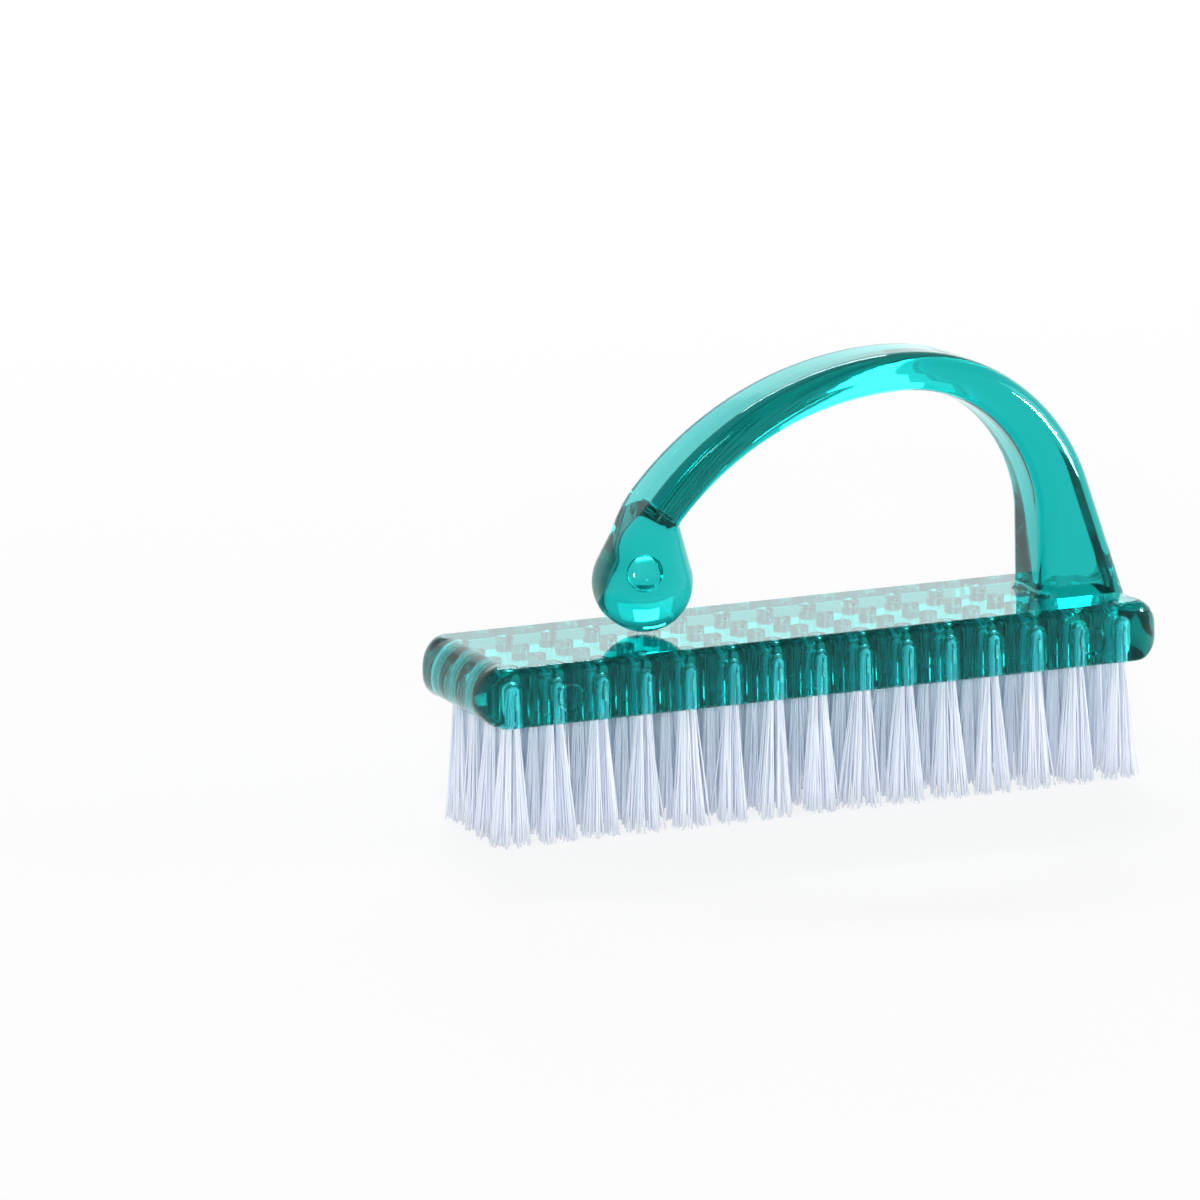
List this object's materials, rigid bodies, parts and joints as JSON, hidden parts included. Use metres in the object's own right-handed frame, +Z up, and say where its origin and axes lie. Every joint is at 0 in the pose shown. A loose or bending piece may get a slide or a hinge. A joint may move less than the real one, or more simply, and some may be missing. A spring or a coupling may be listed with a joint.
{
  "type": "nail brush",
  "caption": "Clear plastic nail brush with an open arched finger handle over a rectangular block and tufts of nylon bristle anchored into its underside.",
  "frame": {"origin": "on the plane of the bristle tips, under the middle of the block", "axes": "+Z up from the bristle tips to the handle, +X along the block from the handle's free round end towards its root, +Y across the block away from the side with the recess"},
  "size_m": [0.094, 0.025, 0.0574],
  "materials": {
    "clear_plastic": "clear teal tinted polystyrene, polished",
    "nylon_filament": "translucent off-white nylon filament",
    "anchor_wire": "bright drawn flat wire"
  },
  "bodies": {
    "root": {"brush_body": "clear_plastic", "tuft_row_01": "nylon_filament", "tuft_row_02": "nylon_filament", "tuft_row_03": "nylon_filament", "tuft_row_04": "nylon_filament", "tuft_row_05": "nylon_filament", "tuft_row_06": "nylon_filament", "tuft_row_07": "nylon_filament", "tuft_row_08": "nylon_filament", "tuft_row_09": "nylon_filament", "tuft_row_10": "nylon_filament", "tuft_row_11": "nylon_filament", "tuft_row_12": "nylon_filament", "tuft_row_13": "nylon_filament", "tuft_row_14": "nylon_filament", "tuft_row_15": "nylon_filament", "anchor_row_01": "anchor_wire", "anchor_row_02": "anchor_wire", "anchor_row_03": "anchor_wire", "anchor_row_04": "anchor_wire", "anchor_row_05": "anchor_wire", "anchor_row_06": "anchor_wire", "anchor_row_07": "anchor_wire", "anchor_row_08": "anchor_wire", "anchor_row_09": "anchor_wire", "anchor_row_10": "anchor_wire", "anchor_row_11": "anchor_wire", "anchor_row_12": "anchor_wire", "anchor_row_13": "anchor_wire", "anchor_row_14": "anchor_wire", "anchor_row_15": "anchor_wire"}
  },
  "joints": []
}
